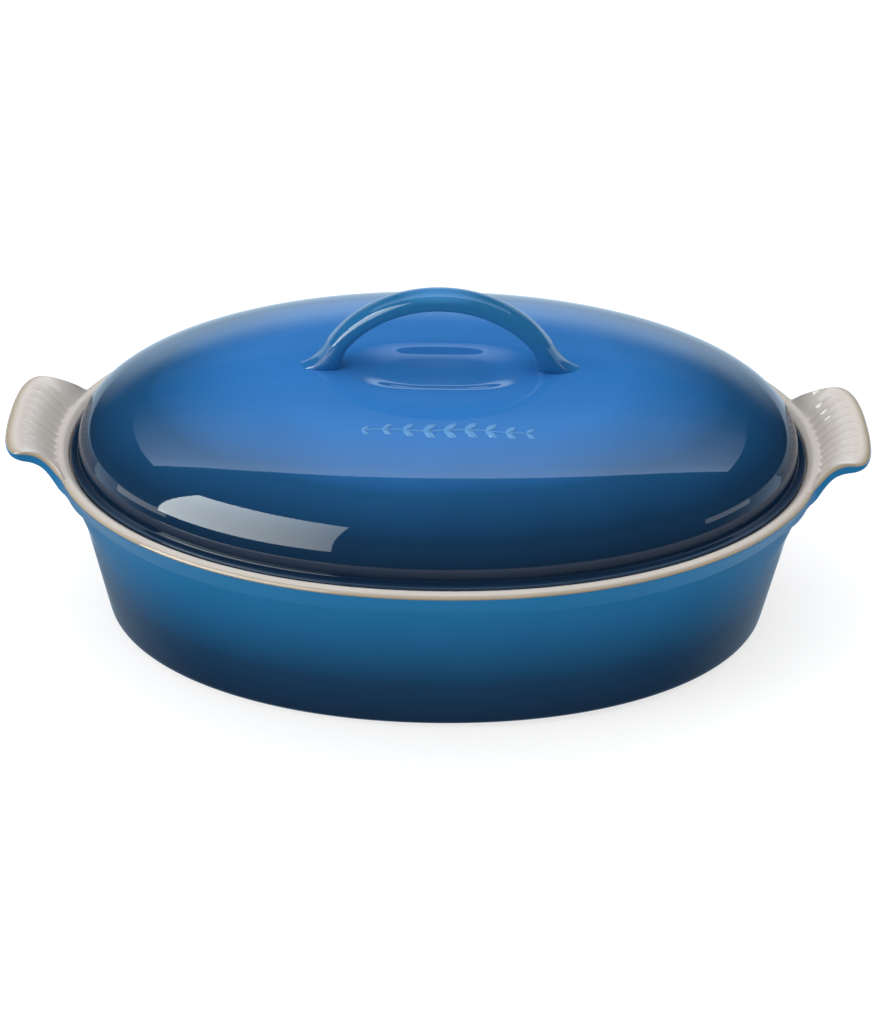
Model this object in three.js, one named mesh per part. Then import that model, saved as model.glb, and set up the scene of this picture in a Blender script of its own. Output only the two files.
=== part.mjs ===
// Oval covered casserole dish in glazed stoneware: a tapered dish with two fluted
// fan lugs, and a domed lid with a finger dimple under an arched strap handle.
// Millimetres, +Z up, +X along the long axis, origin on the table under the centre.
import * as THREE from 'three';

// Driving dimensions.
const RIM = { a: 171, b: 103.6, z: 95.4 }; // crest line of the rim
const OVAL_POWER = 2.07; // 2 would be a true ellipse
const BASE = { a: 156.9, b: 89.7, radius: 7.2, footWidth: 9, recess: 1.6 };
const WALL = { topZ: 80.5, topInset: 4.5, thickness: 7, floor: 7.5 };
const BAND = { z: 80.9, inset: 2.4, topZ: 92.4, proud: 2.4 };
const LEDGE = { z: 90.4, outerInset: 3.4, innerInset: 13 };
const LID = { a: 163, b: 95.2, z: 94, rise: 43, power: 2.55, wall: 6, lipInset: 4.2, gap: 0.3 };
const DIMPLE = { a: 41, b: 18.5, power: 2.8, depth: 5 };
const ARCH = { crownZ: 171.8, radius: 54, legAngle: 56, halfWidth: 5.75, halfThick: 4.5 };
const FOOT = { spread: 5.6, reach: 3.6, shift: 1.4, widen: 1.6, gap: 0.35 };
const LUG = { tipX: 193.7, halfWidth: 28.8, rise: 11.6, riseLength: 7, thick: 5.6, gap: 0.3 };
const LUG_UNDER = { z: 81.2, rise: 21.8, riseLength: 7.7 };
const FLUTE = { count: 9, halfSpan: 26, depth: 1.3, start: 1.5, end: 16 };

// Mesh fineness.
const OVAL_SIDES = 60;
const ARCH_SIDES = 16;

const GLAZE = { blue: 0x1f63a8, deep: 0x123f78, cream: 0xd9cfc4 };

// One point of a superellipse, t running once round from 0 to 1.
function ovalPoint(a, b, power, t) {
  const angle = t * Math.PI * 2;
  const c = Math.cos(angle);
  const s = Math.sin(angle);
  return [a * Math.sign(c) * Math.abs(c) ** (2 / power), b * Math.sign(s) * Math.abs(s) ** (2 / power)];
}

// Size of the superellipse through (x, y), as a fraction of semi-axes a and b.
function ovalNorm(x, y, a, b, power) {
  return (Math.abs(x / a) ** power + Math.abs(y / b) ** power) ** (1 / power);
}

function ovalRing(a, b, power, height) {
  const ring = [];
  for (let i = 0; i < OVAL_SIDES; i++) {
    const [x, y] = ovalPoint(a, b, power, i / OVAL_SIDES);
    const z = typeof height === 'function' ? height(x, y) : height;
    ring.push(new THREE.Vector3(x, y, z));
  }
  return ring;
}

function centreOf(ring) {
  const centre = new THREE.Vector3();
  for (const point of ring) centre.add(point);
  return centre.divideScalar(ring.length);
}

// Closed skin over a stack of rings with equal point counts, fanned shut at both ends.
function skin(rings) {
  const sides = rings[0].length;
  const points = rings.flat();
  const index = [];
  for (let r = 0; r < rings.length - 1; r++) {
    for (let i = 0; i < sides; i++) {
      const next = (i + 1) % sides;
      const lower = r * sides;
      const upper = lower + sides;
      index.push(lower + i, lower + next, upper + next);
      index.push(lower + i, upper + next, upper + i);
    }
  }
  const last = (rings.length - 1) * sides;
  const startCentre = points.push(centreOf(rings[0])) - 1;
  const endCentre = points.push(centreOf(rings[rings.length - 1])) - 1;
  for (let i = 0; i < sides; i++) {
    const next = (i + 1) % sides;
    index.push(startCentre, next, i);
    index.push(endCentre, last + i, last + next);
  }
  return facingOut(points, index);
}

// Turns every triangle round if the skin came out inside out.
function facingOut(points, index) {
  let volume = 0;
  for (let i = 0; i < index.length; i += 3) {
    const [a, b, c] = [points[index[i]], points[index[i + 1]], points[index[i + 2]]];
    volume += a.dot(b.clone().cross(c));
  }
  if (volume < 0) index.reverse();
  const geometry = new THREE.BufferGeometry().setFromPoints(points);
  geometry.setIndex(index);
  geometry.computeVertexNormals();
  return geometry;
}

function glazed(name, geometry, colour, roughness = 0.12) {
  const material = new THREE.MeshStandardMaterial({ color: colour, roughness, metalness: 0 });
  const mesh = new THREE.Mesh(geometry, material);
  mesh.name = name;
  return mesh;
}

// Dish: up the outside from the foot ring, over the rim, down to the floor.
function makeDish() {
  const rimRing = (offset, z) => ovalRing(RIM.a + offset, RIM.b + offset, OVAL_POWER, z);
  const baseRing = (inset, z) => ovalRing(BASE.a - inset, BASE.b - inset, OVAL_POWER, z);
  const rings = [];
  rings.push(baseRing(BASE.radius + BASE.footWidth + 2, BASE.recess));
  rings.push(baseRing(BASE.radius + BASE.footWidth, 0));
  for (const turn of [0, 0.33, 0.66, 1]) {
    const angle = turn * Math.PI / 2;
    const inset = BASE.radius * (1 - Math.sin(angle));
    rings.push(baseRing(inset, BASE.radius * (1 - Math.cos(angle))));
  }
  const wallTop = { a: RIM.a - WALL.topInset, b: RIM.b - WALL.topInset };
  const wallRing = (t, inset) => ovalRing(
    THREE.MathUtils.lerp(BASE.a, wallTop.a, t) - inset,
    THREE.MathUtils.lerp(BASE.b, wallTop.b, t) - inset,
    OVAL_POWER,
    THREE.MathUtils.lerp(BASE.radius, WALL.topZ, t));
  rings.push(wallRing(0.5, 0));
  rings.push(wallRing(1, 0));
  rings.push(rimRing(-BAND.inset, BAND.z));
  rings.push(rimRing(BAND.proud, BAND.topZ));
  for (const [offset, drop] of [[2.4, 1.6], [1.4, 0.3], [0, -0.2], [-1.7, 0.2], [-2.9, 1.6]]) {
    rings.push(rimRing(offset, RIM.z - drop));
  }
  rings.push(rimRing(-LEDGE.outerInset, LEDGE.z));
  rings.push(rimRing(-LEDGE.innerInset, LEDGE.z));
  rings.push(rimRing(-LEDGE.innerInset - 1, LEDGE.z - 2));
  rings.push(wallRing(0.5, WALL.thickness));
  const floorCurve = 22;
  for (const turn of [0, 0.4, 0.75, 1]) {
    const angle = turn * Math.PI / 2;
    const inset = WALL.thickness - 1.5 + floorCurve * (1 - Math.cos(angle));
    rings.push(baseRing(inset, WALL.floor + floorCurve * (1 - Math.sin(angle))));
  }
  return glazed('dish', skin(rings), GLAZE.blue);
}

// Height of the dome over (x, y); grow takes a wall thickness off the shell.
function domeHeight(x, y, wall) {
  const across = Math.min(1, ovalNorm(x, y, LID.a - wall, LID.b - wall, OVAL_POWER));
  return LID.z + (LID.rise - wall) * (1 - across ** LID.power) ** (1 / LID.power);
}

function dimpleDrop(x, y) {
  const across = Math.min(1, ovalNorm(x, y, DIMPLE.a, DIMPLE.b, DIMPLE.power));
  const wall = THREE.MathUtils.clamp((across - 0.5) / 0.5, 0, 1);
  return DIMPLE.depth * 0.5 * (1 + Math.cos(Math.PI * wall));
}

// Lid: over the top from the dimple to the lip, then back under the shell.
function makeLid() {
  const top = (x, y) => domeHeight(x, y, 0) - dimpleDrop(x, y);
  const under = (x, y) => domeHeight(x, y, LID.wall) - dimpleDrop(x, y);
  const dimpleRings = [0.3, 0.5, 0.62, 0.75, 0.88, 1];
  const domeSteps = [0.2, 0.34, 0.48, 0.6, 0.7, 0.8, 0.88, 0.95];
  const domeScale = (step) => Math.sin(step * Math.PI / 2) ** (2 / LID.power);
  const shell = (wall, height) => [
    ...dimpleRings.map((k) => ovalRing(DIMPLE.a * k, DIMPLE.b * k, DIMPLE.power, height)),
    ...domeSteps.slice(1).map((step) => ovalRing(
      (LID.a - wall) * domeScale(step), (LID.b - wall) * domeScale(step), OVAL_POWER, height)),
  ];
  const seatZ = LEDGE.z + LID.gap;
  const lip = (inset, z) => ovalRing(RIM.a - inset, RIM.b - inset, OVAL_POWER, z);
  const rings = [
    ...shell(0, top),
    lip(RIM.a - LID.a, LID.z),
    lip(LID.lipInset + 1.2, LID.z - 0.2),
    lip(LID.lipInset, LID.z - 1.2),
    lip(LID.lipInset + 0.1, seatZ + 1),
    lip(LID.lipInset + 1, seatZ),
    lip(RIM.a - LID.a + LID.wall - 0.6, seatZ),
    lip(RIM.a - LID.a + LID.wall, LID.z),
    ...shell(LID.wall, under).reverse(),
  ];
  return glazed('lid', skin(rings), GLAZE.blue);
}

// Arched strap handle: an arc over the crown, straight legs that spread onto the dome.
function makeLidHandle() {
  const legStart = THREE.MathUtils.degToRad(ARCH.legAngle);
  const kneeX = ARCH.radius * Math.sin(legStart);
  const kneeZ = ARCH.crownZ - ARCH.radius * (1 - Math.cos(legStart));
  const strapRing = (side, x, z, tilt, halfThick, halfWidth, flat) => {
    const ring = [];
    for (let i = 0; i < ARCH_SIDES; i++) {
      const [u, v] = ovalPoint(halfThick, halfWidth, 2.5, i / ARCH_SIDES);
      const px = x + u * Math.sin(tilt);
      const floor = domeHeight(px, v, 0) - dimpleDrop(px, v) + FOOT.gap;
      const pz = flat ? floor : Math.max(floor, z + u * Math.cos(tilt));
      ring.push(new THREE.Vector3(side * px, v, pz));
    }
    return ring;
  };
  const leg = (side) => {
    const rings = [];
    const footX = kneeX + (kneeZ - domeHeight(kneeX, 0, 0)) / Math.tan(legStart);
    const ground = domeHeight(footX, 0, 0);
    const heights = [0, 1.2, 2.6, 4.4, 6.8, 9.6];
    for (const height of heights) {
      const z = ground + height;
      const x = kneeX + (kneeZ - z) / Math.tan(legStart);
      const flare = Math.exp(-height / FOOT.reach);
      const level = Math.min(1, height / (kneeZ - ground));
      const tilt = THREE.MathUtils.lerp(Math.PI / 2, legStart, level);
      rings.push(strapRing(side, x - 2.4 * (1 - level) + FOOT.shift * flare, z, tilt,
        ARCH.halfThick + FOOT.spread * flare, ARCH.halfWidth + FOOT.widen * flare, height === 0));
    }
    return rings;
  };
  const arc = [];
  const arcSteps = 16;
  for (let i = 0; i <= arcSteps; i++) {
    const angle = THREE.MathUtils.lerp(legStart, -legStart, i / arcSteps);
    const x = ARCH.radius * Math.sin(angle);
    const z = ARCH.crownZ - ARCH.radius * (1 - Math.cos(angle));
    arc.push(strapRing(1, x, z, angle, ARCH.halfThick, ARCH.halfWidth, false));
  }
  return glazed('lid_handle', skin([...leg(1), ...arc, ...leg(-1).reverse()]), GLAZE.deep);
}

// Plan outline of a lug's edge for s from 0 at the tip to 1 where it runs into the rim.
const TIP_CURVE = new THREE.CubicBezierCurve(
  new THREE.Vector2(LUG.tipX, 0),
  new THREE.Vector2(LUG.tipX, 13),
  new THREE.Vector2(LUG.tipX - 1.2, LUG.halfWidth + 0.7),
  new THREE.Vector2(LUG.tipX - 9.2, LUG.halfWidth));
const NECK_CURVE = new THREE.CubicBezierCurve(
  new THREE.Vector2(LUG.tipX - 9.2, LUG.halfWidth),
  new THREE.Vector2(LUG.tipX - 16.7, LUG.halfWidth - 2.2),
  new THREE.Vector2(LUG.tipX - 26, LUG.halfWidth - 0.8),
  new THREE.Vector2(LUG.tipX - 29, LUG.halfWidth + 7));
const TIP_SHARE = 0.7;
const ROOT_NARROWING = 0.81;

function lugEdge(s) {
  if (s < TIP_SHARE) return TIP_CURVE.getPoint(s / TIP_SHARE);
  return NECK_CURVE.getPoint((s - TIP_SHARE) / (1 - TIP_SHARE));
}

// Point on the rim, offset outwards, that a lug's edge point s grows from.
function lugRoot(s, offset) {
  const tipY = ROOT_NARROWING * lugEdge(Math.min(s, TIP_SHARE)).y;
  const neck = Math.max(0, (s - TIP_SHARE) / (1 - TIP_SHARE));
  const y = THREE.MathUtils.lerp(tipY, NECK_CURVE.v3.y, neck);
  const x = (RIM.a + offset) * (1 - (y / (RIM.b + offset)) ** OVAL_POWER) ** (1 / OVAL_POWER);
  return new THREE.Vector2(x, y);
}

function fluteDrop(s, reach) {
  const across = lugEdge(Math.abs(s)).y / FLUTE.halfSpan;
  if (across >= 1) return 0;
  const phase = (Math.sign(s) * across + 1) / 2 * FLUTE.count;
  const scallop = Math.abs(Math.sin(Math.PI * phase));
  const along = THREE.MathUtils.clamp((reach - FLUTE.start) / (FLUTE.end - FLUTE.start), 0, 1);
  return FLUTE.depth * scallop * Math.sin(Math.PI * along ** 0.6);
}

// One closed section of a lug from the rim out to its edge, at s from -1 to 1.
function lugSection(s) {
  const edge = lugEdge(Math.abs(s));
  const topRoot = lugRoot(Math.abs(s), BAND.proud + LUG.gap);
  const underRoot = lugRoot(Math.abs(s), -BAND.inset + LUG.gap + 0.2);
  const full = edge.distanceTo(topRoot);
  const inward = topRoot.clone().sub(edge).normalize();
  const topZ = (reach) => RIM.z - 0.6 + LUG.rise * (1 - Math.exp(-reach / LUG.riseLength));
  const underZ = (reach) => LUG_UNDER.z + LUG_UNDER.rise * (1 - Math.exp(-reach / LUG_UNDER.riseLength));
  const nose = Math.min(LUG.thick / 2, full / 2);
  const section = [];
  const put = (point, z) => section.push(new THREE.Vector3(point.x, Math.sign(s || 1) * point.y, z));
  for (const t of [0, 0.12, 0.24, 0.38, 0.55, 0.75, 1]) {
    const reach = t * (full - nose);
    put(topRoot.clone().lerp(edge.clone().addScaledVector(inward, nose), t), topZ(reach) - fluteDrop(s, reach));
  }
  const tipTop = topZ(full - nose);
  const tipUnder = underZ(full - nose);
  for (const angle of [-50, 0, 50]) {
    const turn = THREE.MathUtils.degToRad(angle);
    const out = nose * (1 - Math.cos(turn));
    put(edge.clone().addScaledVector(inward, out), (tipTop + tipUnder) / 2 - Math.sin(turn) * (tipTop - tipUnder) / 2);
  }
  for (const t of [1, 0.7, 0.45, 0.25, 0.1, 0]) {
    const start = underRoot.clone();
    put(start.lerp(edge.clone().addScaledVector(inward, nose), t), underZ(t * (full - nose)));
  }
  const bandFace = lugRoot(Math.abs(s), BAND.proud + LUG.gap);
  put(bandFace, BAND.topZ - 0.2);
  return section;
}

function makeLug(name, side) {
  const steps = [];
  const perFlute = 4;
  const fluteSteps = FLUTE.count * perFlute;
  for (const s of [-0.95, -0.9, -0.84, -0.78, -0.72]) steps.push(s);
  for (let i = 0; i <= fluteSteps; i++) steps.push(lugStepAt((i / fluteSteps) * 2 - 1));
  for (const s of [0.72, 0.78, 0.84, 0.9, 0.95]) steps.push(s);
  const rings = steps.map(lugSection);
  if (side < 0) for (const ring of rings) for (const point of ring) point.x *= -1;
  return glazed(name, skin(rings), GLAZE.cream);
}

// The s whose edge point lies at this fraction of the fluted span, found by halving.
function lugStepAt(fraction) {
  const target = Math.abs(fraction) * FLUTE.halfSpan;
  let low = 0;
  let high = TIP_SHARE;
  for (let i = 0; i < 30; i++) {
    const middle = (low + high) / 2;
    if (lugEdge(middle).y < target) low = middle;
    else high = middle;
  }
  return Math.sign(fraction) * low;
}

const casserole = new THREE.Group();
casserole.add(makeDish());
casserole.add(makeLug('lug_left', -1));
casserole.add(makeLug('lug_right', 1));
casserole.add(makeLid());
casserole.add(makeLidHandle());

export default casserole;
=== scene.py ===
"""Oval covered casserole dish in glazed stoneware, with fluted lugs and a domed lid."""
import math

import bpy
import numpy as np
from mathutils import Matrix, Vector


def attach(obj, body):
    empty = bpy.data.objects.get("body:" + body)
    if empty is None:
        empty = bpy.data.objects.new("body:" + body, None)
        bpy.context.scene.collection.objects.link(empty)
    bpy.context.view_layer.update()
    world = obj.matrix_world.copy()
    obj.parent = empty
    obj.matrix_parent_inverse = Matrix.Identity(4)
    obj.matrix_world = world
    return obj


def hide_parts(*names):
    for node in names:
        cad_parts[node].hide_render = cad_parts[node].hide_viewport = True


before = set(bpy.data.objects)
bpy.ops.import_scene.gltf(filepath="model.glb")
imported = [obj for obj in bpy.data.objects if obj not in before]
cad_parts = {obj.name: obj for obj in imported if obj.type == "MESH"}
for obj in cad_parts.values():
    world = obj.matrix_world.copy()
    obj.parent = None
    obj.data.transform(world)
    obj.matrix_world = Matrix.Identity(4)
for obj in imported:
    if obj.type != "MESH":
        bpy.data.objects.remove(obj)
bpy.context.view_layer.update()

MM = 0.001

# ---------------------------------------------------------------- sizes, in millimetres
OVAL = 2.07  # how square the plan oval is; 2 is a true ellipse
RIM = {"long": 171.0, "short": 103.6}  # half sizes of the rim's crest line
LID = {"long": 163.0, "short": 95.2, "foot": 94.0, "rise": 43.0, "crown": 2.55, "wall": 6.0}
DIMPLE = {"long": 41.0, "short": 18.5, "corner": 3.1, "depth": 4.3, "bowl": 0.4, "roll": 0.47}
LUG = {"root": 95.6, "rise": 12.4, "run": 7.7, "neck_run": 5.8, "nose": 2.8}
LUG_UNDER = {"root": 81.9, "rise": 22.0, "run": 5.9}
GUSSET = {"out": 2.6, "beside": 36.0, "width": 9.5, "fade_in": (55, 80), "fade_out": (83, 93)}
FLUTES = {"count": 9, "half": 26.0, "depth": 2.1, "start": 0.6, "end": 16.0}
ARCH = {"crown": 171.8, "radius": 54.0, "leg": 56.0, "wide": 5.75, "thick": 4.5, "corner": 2.5}

# ---------------------------------------------------------------- shapes


def oval(long, short, turn, power=OVAL):
    """Points of a superellipse; turn is the angle round it in radians."""
    c, s = np.cos(turn), np.sin(turn)
    return np.stack([long * np.sign(c) * np.abs(c) ** (2 / power),
                     short * np.sign(s) * np.abs(s) ** (2 / power)], -1)


def oval_share(x, y, long, short, power):
    """How far out (x, y) lies, from 0 at the middle to 1 on the superellipse."""
    return (np.abs(x / long) ** power + np.abs(y / short) ** power) ** (1 / power)


def dome_height(x, y):
    """Height of the lid's outside, dimple included."""
    out = np.minimum(oval_share(x, y, LID["long"], LID["short"], OVAL), 1)
    crown = LID["crown"]
    height = LID["foot"] + LID["rise"] * (1 - out ** crown) ** (1 / crown)
    ring = np.minimum(oval_share(x, y, DIMPLE["long"], DIMPLE["short"], DIMPLE["corner"]), 1)
    rolled = 0.5 * (1 - np.cos(np.pi * np.minimum((1 - ring) / DIMPLE["roll"], 1)))
    sink = DIMPLE["bowl"] * (1 - ring ** 2) ** 2 + (1 - DIMPLE["bowl"]) * rolled
    return height - DIMPLE["depth"] * sink


def ease(t):
    """Smooth rise from 0 at t = 0 to 1 at t = 1, flat outside."""
    t = np.clip(t, 0, 1)
    return t * t * (3 - 2 * t)


def bezier(points, t):
    """Cubic Bezier through plan points, t an array."""
    a, b, c, d = (np.array(p, float) for p in points)
    t = np.asarray(t)[..., None]
    return a * (1 - t) ** 3 + 3 * b * t * (1 - t) ** 2 + 3 * c * t ** 2 * (1 - t) + d * t ** 3


def turned_profile(corners, round_steps=6, longest=7.0):
    """Profile through (offset, height, rounding) corners, each rounded over that length."""
    pts = [np.array(c[:2], float) for c in corners]
    line = [pts[0]]
    for before, corner, after, spec in zip(pts, pts[1:], pts[2:], corners[1:]):
        if spec[2] <= 0:
            line.append(corner)
            continue
        a = corner + (before - corner) / np.linalg.norm(before - corner) * spec[2]
        b = corner + (after - corner) / np.linalg.norm(after - corner) * spec[2]
        for t in np.linspace(0, 1, round_steps + 1):
            line.append(a * (1 - t) ** 2 + 2 * corner * t * (1 - t) + b * t ** 2)
    line.append(pts[-1])
    full = [line[0]]
    for p in line[1:]:
        steps = max(1, int(math.ceil(np.linalg.norm(p - full[-1]) / longest)))
        start = full[-1]
        full += [start + (p - start) * k / steps for k in range(1, steps + 1)]
    return np.array(full)


def spread_along(line, count):
    """The same line with count points spaced evenly."""
    line = np.array(line, float)
    run = np.concatenate([[0], np.cumsum(np.linalg.norm(np.diff(line, axis=0), axis=1))])
    at = np.linspace(0, run[-1], count)
    return np.stack([np.interp(at, run, line[:, k]) for k in range(line.shape[1])], -1)


def ring_mesh(name, rows, marks=None):
    """Closed skin over rows of rings, rows[row, column] in mm, with a pole at each end."""
    count, sides = rows.shape[:2]
    poles = np.stack([rows[0].mean(0), rows[-1].mean(0)])
    points = np.concatenate([rows.reshape(-1, 3), poles]) * MM
    i = np.arange(sides)
    j = (i + 1) % sides
    first = np.arange(count - 1)[:, None] * sides
    quads = np.stack([first + i, first + j, first + sides + j, first + sides + i], -1).reshape(-1, 4)
    start, last, top = count * sides, count * sides + 1, (count - 1) * sides
    caps = [(start, int(b), int(a)) for a, b in zip(i, j)]
    caps += [(last, int(top + a), int(top + b)) for a, b in zip(i, j)]
    mesh = bpy.data.meshes.new(name)
    mesh.from_pydata(points.tolist(), [], quads.tolist() + caps)
    for mark, values in (marks or {}).items():
        layer = mesh.attributes.new(mark, "FLOAT", "POINT")
        values = np.asarray(values, float)
        ends = [values[0].mean(), values[-1].mean()]
        layer.data.foreach_set("value", np.concatenate([values.ravel(), ends]).astype(np.float32))
    mesh.shade_smooth()
    piece = bpy.data.objects.new(name, mesh)
    bpy.context.scene.collection.objects.link(piece)
    return piece


def run_along_rows(rows):
    """Distance walked down each column, row by row, in mm."""
    steps = np.linalg.norm(np.diff(rows, axis=0), axis=2)
    return np.concatenate([np.zeros((1, rows.shape[1])), np.cumsum(steps, 0)])


def flip_outward(piece):
    """Turns the faces round if the closed mesh came out inside out."""
    mesh = piece.data
    volume = sum(f.center.dot(f.normal) * f.area for f in mesh.polygons)
    if volume < 0:
        mesh.flip_normals()


# ---------------------------------------------------------------- node trees


def put(tree, kind, inputs=None, **settings):
    """One node, with its settings and its inputs, each a value or another node's output."""
    node = tree.nodes.new(kind)
    for key, value in settings.items():
        setattr(node, key, value)
    for key, value in (inputs or {}).items():
        if isinstance(value, bpy.types.NodeSocket):
            tree.links.new(value, node.inputs[key])
        else:
            node.inputs[key].default_value = value
    return node


def work(tree, operation, *terms):
    """One math node's result."""
    return put(tree, "ShaderNodeMath", dict(enumerate(terms)), operation=operation).outputs[0]


class Recipe:
    """A geometry node tree with named sizes."""

    def __init__(self, name, sizes):
        self.tree = bpy.data.node_groups.new(name, "GeometryNodeTree")
        sockets = self.tree.interface
        sockets.new_socket("Geometry", in_out="INPUT", socket_type="NodeSocketGeometry")
        self.values = {}
        for size, value in sizes.items():
            kind = "NodeSocketInt" if isinstance(value, int) else "NodeSocketFloat"
            socket = sockets.new_socket(size, in_out="INPUT", socket_type=kind)
            socket.default_value = value
            self.values[socket.identifier] = value
        sockets.new_socket("Geometry", in_out="OUTPUT", socket_type="NodeSocketGeometry")
        self.given = self.tree.nodes.new("NodeGroupInput").outputs

    def put(self, kind, inputs=None, **settings):
        return put(self.tree, kind, inputs, **settings)

    def work(self, operation, *terms):
        return work(self.tree, operation, *terms)

    def mark(self, name):
        node = self.put("GeometryNodeInputNamedAttribute", {"Name": name}, data_type="FLOAT")
        return node.outputs["Attribute"]

    def position(self):
        place = self.put("GeometryNodeInputPosition").outputs[0]
        split = self.put("ShaderNodeSeparateXYZ", {0: place}).outputs
        return split[0], split[1], split[2]

    def point(self, x, y, z):
        return self.put("ShaderNodeCombineXYZ", {0: x, 1: y, 2: z}).outputs[0]

    def oval_share(self, x, y, long, short, power):
        """Same rule as the oval_share sum, as nodes."""
        parts = []
        for along, half in ((x, long), (y, short)):
            share = self.work("ABSOLUTE", self.work("DIVIDE", along, half))
            parts.append(self.work("POWER", share, power))
        return self.work("POWER", self.work("ADD", *parts), self.work("DIVIDE", 1.0, power))

    def dome(self, x, y, inset):
        """Height of the domed lid over (x, y), with its dimple, inset by a wall thickness."""
        sized = self.given
        long = self.work("SUBTRACT", sized["Half length"], inset)
        short = self.work("SUBTRACT", sized["Half width"], inset)
        rise = self.work("SUBTRACT", sized["Rise"], inset)
        out = self.work("MINIMUM", self.oval_share(x, y, long, short, sized["Oval power"]), 1.0)
        left = self.work("SUBTRACT", 1.0, self.work("POWER", out, sized["Crown power"]))
        crown = self.work("POWER", left, self.work("DIVIDE", 1.0, sized["Crown power"]))
        height = self.work("MULTIPLY_ADD", rise, crown, sized["Foot height"])
        return self.work("SUBTRACT", height, self.dimple(x, y))

    def dimple(self, x, y):
        """How far the dimple sinks below the dome over (x, y)."""
        sized = self.given
        ring = self.work("MINIMUM", self.oval_share(
            x, y, sized["Dimple half length"], sized["Dimple half width"], sized["Dimple power"]), 1.0)
        inside = self.work("DIVIDE", self.work("SUBTRACT", 1.0, ring), sized["Dimple roll"])
        turn = self.work("MULTIPLY", self.work("MINIMUM", inside, 1.0), math.pi)
        rolled = self.work("MULTIPLY_ADD", self.work("COSINE", turn), -0.5, 0.5)
        bowl = self.work("POWER", self.work("SUBTRACT", 1.0, self.work("MULTIPLY", ring, ring)), 2.0)
        bowl_part = self.work("MULTIPLY", bowl, sized["Dimple bowl"])
        rolled_part = self.work("MULTIPLY", rolled, self.work("SUBTRACT", 1.0, sized["Dimple bowl"]))
        return self.work("MULTIPLY", self.work("ADD", bowl_part, rolled_part), sized["Dimple depth"])

    def finish(self, geometry, material):
        real = self.put("GeometryNodeRealizeInstances", {0: geometry}).outputs[0]
        painted = self.put("GeometryNodeSetMaterial", {"Geometry": real, "Material": material})
        self.put("NodeGroupOutput", {0: painted.outputs[0]})

    def apply(self, piece):
        """Runs the tree on a piece and keeps the result as its plain mesh."""
        modifier = piece.modifiers.new(self.tree.name, "NODES")
        modifier.node_group = self.tree
        for identifier, value in self.values.items():
            modifier[identifier] = value
        graph = bpy.context.evaluated_depsgraph_get()
        result = bpy.data.meshes.new_from_object(
            piece.evaluated_get(graph), preserve_all_data_layers=True, depsgraph=graph)
        piece.modifiers.remove(modifier)
        piece.data = result
        result.name = piece.name
        return piece


DOME_SIZES = {
    "Half length": LID["long"] * MM, "Half width": LID["short"] * MM, "Oval power": OVAL,
    "Foot height": LID["foot"] * MM, "Rise": LID["rise"] * MM, "Crown power": LID["crown"],
    "Dimple half length": DIMPLE["long"] * MM, "Dimple half width": DIMPLE["short"] * MM,
    "Dimple power": DIMPLE["corner"], "Dimple depth": DIMPLE["depth"] * MM,
    "Dimple bowl": DIMPLE["bowl"], "Dimple roll": DIMPLE["roll"],
}

# ---------------------------------------------------------------- effects shared by the glazes


def effect(name, inputs, outputs):
    """An empty shader node group with named inputs and outputs."""
    kinds = {"colour": "NodeSocketColor", "value": "NodeSocketFloat"}
    group = bpy.data.node_groups.new(name, "ShaderNodeTree")
    for label, (kind, value) in inputs.items():
        socket = group.interface.new_socket(label, in_out="INPUT", socket_type=kinds[kind])
        socket.default_value = value
    for label, kind in outputs.items():
        group.interface.new_socket(label, in_out="OUTPUT", socket_type=kinds[kind])
    return group, group.nodes.new("NodeGroupInput").outputs


def spot_in(tree):
    """X, Y and Z of a spot on the surface, in metres."""
    place = put(tree, "ShaderNodeTexCoord").outputs["Object"]
    return put(tree, "ShaderNodeSeparateXYZ", {0: place}).outputs


def noise(tree, scale, detail):
    """Cloudy noise from 0 to 1; a greater scale makes smaller clouds."""
    place = put(tree, "ShaderNodeTexCoord").outputs["Object"]
    return put(tree, "ShaderNodeTexNoise", {"Vector": place, "Scale": scale, "Detail": detail}).outputs[0]


def blended(tree, share, a, b):
    node = put(tree, "ShaderNodeMix", {0: share, 6: a, 7: b}, data_type="RGBA")
    return node.outputs[2]


OMBRE_STOPS = ("Foot", "Lower", "Upper", "Crown")


def make_ombre():
    """Sprayed fade of four colours from the foot up, with a cloudy border between them; on the handle its
    top stop is a painted highlight.
    """
    inputs = {"Cloud": ("value", 0.002)}
    for k, stop in enumerate(OMBRE_STOPS):
        inputs[stop + " Height"] = ("value", 0.03 * k)
        inputs[stop + " Colour"] = ("colour", (0.01, 0.03, 0.06, 1))
    group, given = effect("sprayed_ombre_and_handle_highlight", inputs, {"Colour": "colour"})
    drift = work(group, "MULTIPLY", work(group, "SUBTRACT", noise(group, 16.0, 3.0), 0.5), given["Cloud"])
    level = work(group, "ADD", spot_in(group)[2], drift)
    colour = given["Foot Colour"]
    for low, high in zip(OMBRE_STOPS, OMBRE_STOPS[1:]):
        share = put(group, "ShaderNodeMapRange",
                    {0: level, 1: given[low + " Height"], 2: given[high + " Height"]}).outputs[0]
        colour = blended(group, share, colour, given[high + " Colour"])
    put(group, "NodeGroupOutput", {0: colour})
    return group


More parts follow.
